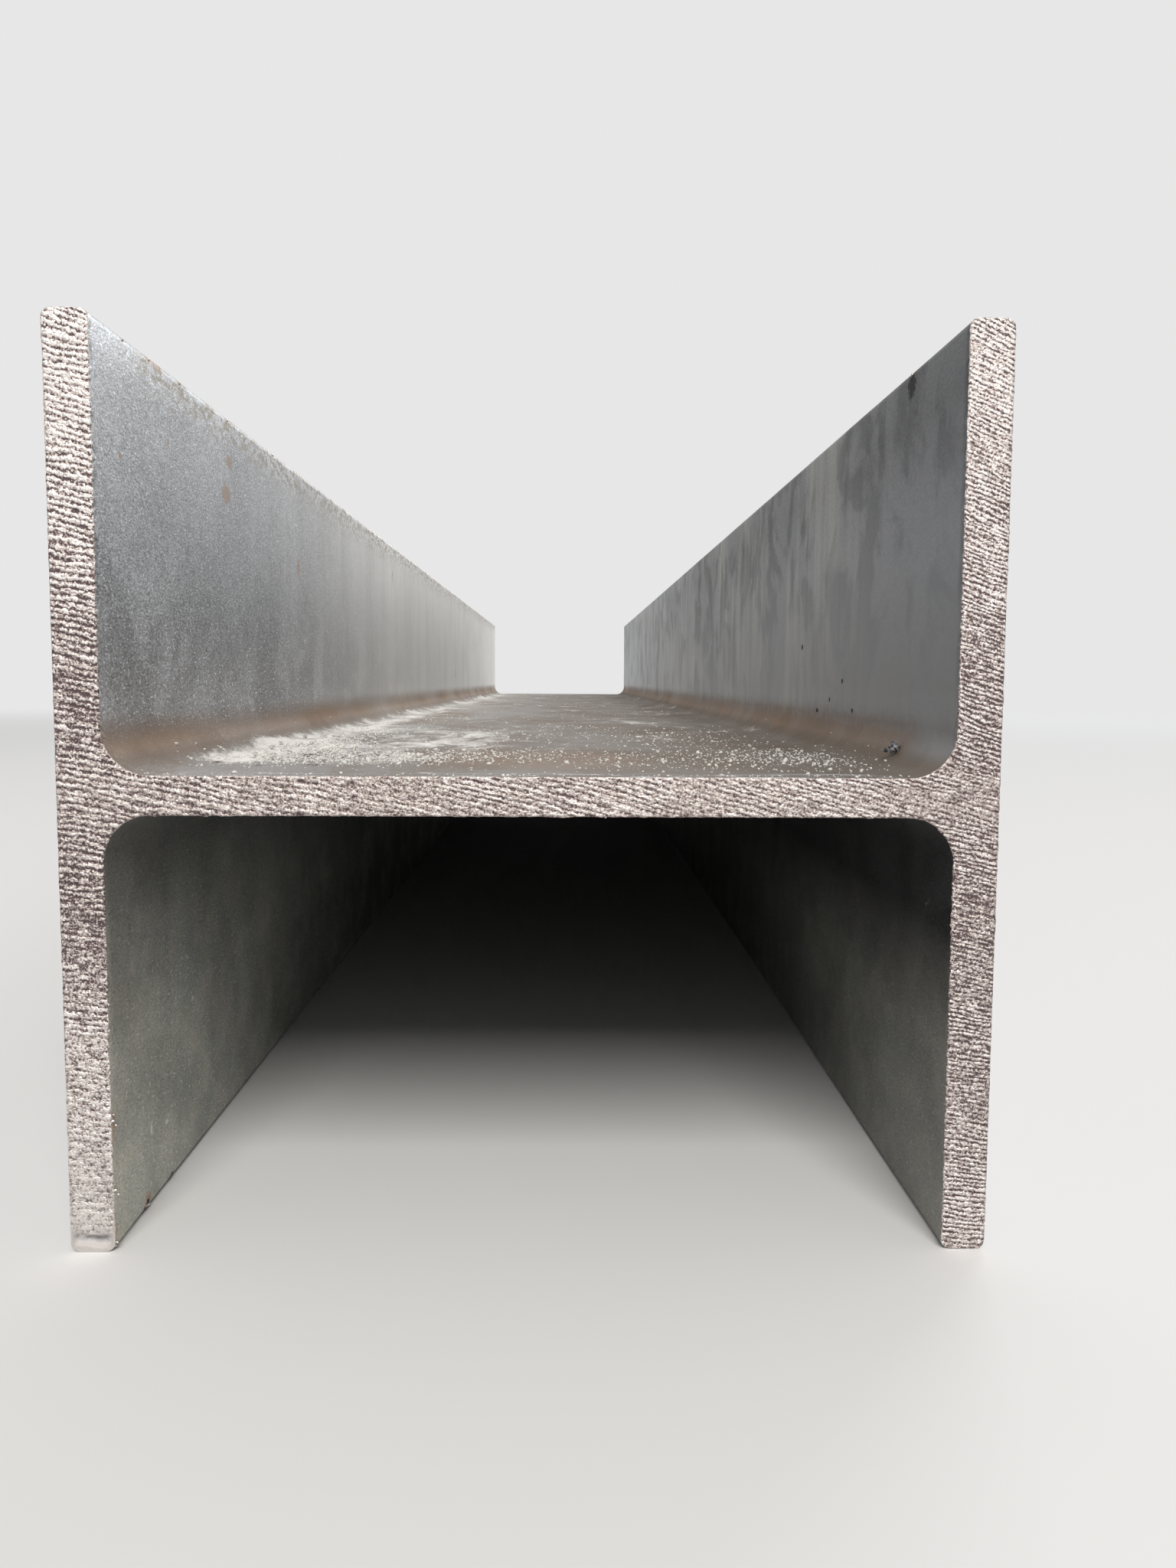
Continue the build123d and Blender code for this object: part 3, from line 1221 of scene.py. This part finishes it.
def dust_mask(tree, on):
    """Ash powder: along the left root, in a drift near the front, and in patches further back."""
    edge_gap = on.y.ease(near_end + 14 * MM, near_end + 42 * MM)
    corner = (on.x.near_to(-(section.inner - 10 * MM), 13 * MM) * edge_gap
              * on.y.stretch(near_end + 60 * MM, near_end + 500 * MM, 0.70, 0.42))
    drift = on.x.near_to(-38 * MM, 44 * MM) * on.y.ease(-0.330, -0.520) * edge_gap * 0.60
    patches = noise(drawn(on.place, 1.0, 0.6, 0.0), 24.0, 2.0).stretch(0.42, 0.62, 0.10, 0.42)
    patches = on.web * patches * on.y.ease(-0.500, -0.440)
    low = on.upper * on.z.ease(web_top + 4 * MM, web_top + 0.5 * MM)
    return place_group(tree, dust_group, cover=(corner + drift + patches) * low).mask


def thread_mask(on):
    """Thin threads of zinc across the web, close to its sawn edge, painted bright as a highlight.
    """
    threads = noise(drawn(on.place, 0.06, 1.0, 0.0), 380.0, 2.0, 0.5, 0.6)
    flat_end = section.inner - section.root
    return (on.web * on.y.ease(near_end + 12 * MM, near_end + 6 * MM)
            * on.sideways.ease(flat_end, flat_end - 3 * MM)
            * abs(threads - 0.5).ease(0.016, 0.004))


# %% Paint the rolled faces
def paint_rolled_zinc():
    """Grey zinc with grain, streaks, clouds, stains and ash dust."""
    material, tree, shader = new_finish("rolled_zinc")
    on = masks_on_beam(tree)
    grain = place_group(tree, grain_and_glint_group)
    frost = place_group(tree, grain_and_glint_group, scale=2600.0, glint_bar=0.645)
    streaks = place_group(tree, streak_group)
    clouds = place_group(tree, cloud_group)
    rust = place_group(tree, rust_group).mask
    stain, dust, pit = water_stain(on), dust_mask(tree, on), listed(on, pits)
    dab = listed(on, dabs) * grain.tone.stretch(-1.0, 1.0, 0.2, 0.7)
    # The web darker, the more so towards the right.
    darker_web = on.web * on.x.stretch(-50 * MM, 20 * MM, 0.50, 0.86)

    colour = laid(
        coat_colour(tree, on, grain, streaks, clouds),
        *wall_layers(on, streaks),
        (on.below * 0.92, damp_colour(on, frost)),
        (on.root * on.upper * 0.55, web_grey),
        (stain * 0.95, stain_brown),
        (calc("MAXIMUM", rust * 0.8, dab), rust_orange),
        (listed(on, chalk) * 0.8, ash_white),
        (rim_mask(on), rim_dirt),
        (pit, pit_dark),
        (darker_web, web_grey),
        (listed(on, stained) * 0.55, stain_brown),
        (thread_mask(on), painted_glint_white),
        (dust, ash_white),
    )
    rough = (clouds.mask * 0.10 + on.below * 0.15 + dust * 0.4 + stain * 0.15 + pit * 0.5 + 0.40
             + on.web * 0.12 + on.root * on.upper * 0.12 + grain.tone * 0.06)
    metal = calc("MAXIMUM", 0.92 - on.below * 0.55 - stain * 0.45, 0.0)
    metal = metal * on.web.between(1.0, 0.3) * (1.0 - dust) * (1.0 - calc("MAXIMUM", pit, dab))
    smooth = calc("MAXIMUM", on.right_wall, on.root)
    peel = swing(on.place, 260.0, 3.0, 0.55, 0.022) * smooth.between(1.0, 0.2)
    sand = grain.tone * on.right_wall.between(0.012, 0.004) + on.below * frost.tone * 0.022
    fill(shader, peel + sand, Base_Color=colour, Roughness=rough, Metallic=metal)
    return material


# %% [markdown]
# ## Finish of the sawn ends
# Here the zinc is thin and bright, and every stroke has a lit crest and a dark foot. Both are
# painted: painted highlight on the crests and painted shade in the grooves. The mesh carries the
# strokes' turns and strength as attributes. Turns change evenly from point to point, so their
# cosine gives crisp lines between the points too. The finish adds finer strokes and grain, and
# turns their sum into a colour from purplish brown to white, the painted shade and highlight of
# that relief. Rims that face up and the drained dish get painted light the same way. Ash and
# beads have a plain finish of their own.

# %% Paint the sawn ends
# Colours of the sawn face: the darkest is painted shade in the grooves, the lightest painted
# highlight on the crests and on the dish's lip, and the grey painted shade in the dish's hollow.
# The beads use the warm and the light one as plain zinc.
painted_groove_shade = (0.105, 0.075, 0.078, 1.0)
zinc_warm = (0.46, 0.395, 0.37, 1.0)
crest_light = (0.80, 0.755, 0.725, 1.0)
pool_grey = (0.20, 0.195, 0.20, 1.0)


def stroke_lines(place, turns, strength):
    """Lines with a broad light crest and a narrow dark foot, from 0.8 down to -1.2: the painted
    highlight and shade of the strokes.
    """
    turns = turns + swing(place, 1300.0, 3.0, 0.6, 0.26)
    lines = calc("COSINE", turns * (2 * np.pi))
    foot = calc("POWER", lines.stretch(-1.0, 1.0, 1.0, 0.0), 2.0)
    return strength * foot.between(0.8, -1.2)


def face_tone(x, z, marks):
    """The marks, fainter by the web, and how light the face is in its parts, partly the zinc's own
    tone and partly painted light: lighter away from the web, darker low on the right.
    """
    from_web = abs(z - float(web_middle))
    left, right = x.ease(0.0, -section.inner), x.ease(0.0, section.inner)
    low = z.ease(62 * MM, 22 * MM)
    marks = marks * from_web.stretch(3 * MM, 9 * MM, 0.74, 1.0) * (low * left).between(1.0, 1.1)
    return (marks + from_web.stretch(20 * MM, 70 * MM, -0.20, 0.18)
            - from_web.near_to(18 * MM, 26 * MM) * left * 0.12
            + low * left * 0.06 - low * right * 0.14
            + from_web.near_to(0, 9 * MM) * 0.10 + x.stretch(50 * MM, 70 * MM, 0.0, -0.07))


def paint_sawn_zinc():
    """Bright zinc over saw strokes, with painted shade in the grooves and painted highlight on the
    crests.
    """
    material, tree, shader = new_finish("sawn_zinc")
    place, x, _, z = object_place(tree)
    fine = place_group(tree, stroke_group).tone
    grain = place_group(tree, grain_and_glint_group, scale=2900.0, glint_bar=0.70).tone
    turns, strength, dashes, calm = (
        Value(tree, add(tree, "ShaderNodeAttribute", attribute_name=name).outputs["Fac"])
        for name in ("turns", "strength", "dashes", "calm"))
    lines = stroke_lines(place, turns, strength)
    tone = face_tone(x, z, lines * 0.52 + dashes * 0.20 + fine * 0.30 + grain * 0.60)

    # Where the zinc is calm and in the dish: painted shade in the hollow and painted highlight on
    # the lip, from the dashes.
    pool = (dashes * 0.8 + tone * 0.2).stretch(-1.0, 0.5, 0.0, 1.0)
    colour = laid(
        mix(tone.ease(-0.60, 0.00), painted_groove_shade, zinc_warm),
        (tone.ease(-0.10, 0.45), crest_light),
        (calm, mix(pool, pool_grey, crest_light)),
    )
    height = (fine * 0.030 + grain * 0.050 + lines * 0.040) * (1.0 - calm)
    fill(shader, height, Base_Color=colour,
         Roughness=calm.between(tone.stretch(-0.8, 0.8, 0.50, 0.34), 0.24))
    shader.inputs["Metallic"].default_value = 0.85
    return material


# %% Paint the ash and the beads, and dress every piece
def paint_ash():
    """Chalky white powder with a few greyer crumbs."""
    material, tree, shader = new_finish("white_ash")
    place = object_place(tree)[0]
    patches = noise(place, 420.0, 2.0).stretch(0.35, 0.65, 0.0, 1.0)
    fill(shader, noise(place, 6000.0, 2.0), bump_distance=0.1 * MM,
         Base_Color=mix(patches, ash_grey, ash_white), Roughness=patches.between(0.8, 0.95))
    return material


def paint_beads():
    """Bright zinc: brown dirt on the highest beads, and a dark crust on the lump."""
    material, tree, shader = new_finish("zinc_beads")
    place, x, _, z = object_place(tree)
    grain = place_group(tree, grain_and_glint_group, scale=2900.0).tone
    dirt = z.ease(100 * MM, 140 * MM) * noise(place, 300.0, 3.0).ease(0.45, 0.6)
    lump = x.ease(50 * MM, 60 * MM) * z.near_to(83 * MM, 20 * MM)
    crust = noise(place, 1400.0, 3.0).ease(0.40, 0.60)
    colour = laid(
        mix(grain.stretch(-1.0, 1.0, 0.0, 1.0), zinc_warm, crest_light),
        (dirt, stain_brown),
        (lump, mix(crust, pit_dark, shade_and_crust_blue)),
    )
    dirt = calc("MAXIMUM", dirt, lump)
    fill(shader, Base_Color=colour, Roughness=dirt.between(0.45, 0.7),
         Metallic=dirt.between(0.9, 0.3))
    return material


steel.data.materials.append(paint_rolled_zinc())
steel.data.materials.append(paint_sawn_zinc())
ash_crumbs.data.materials.append(paint_ash())
zinc_beads.data.materials.append(paint_beads())
print("Finishes:", [material.name for material in bpy.data.materials])
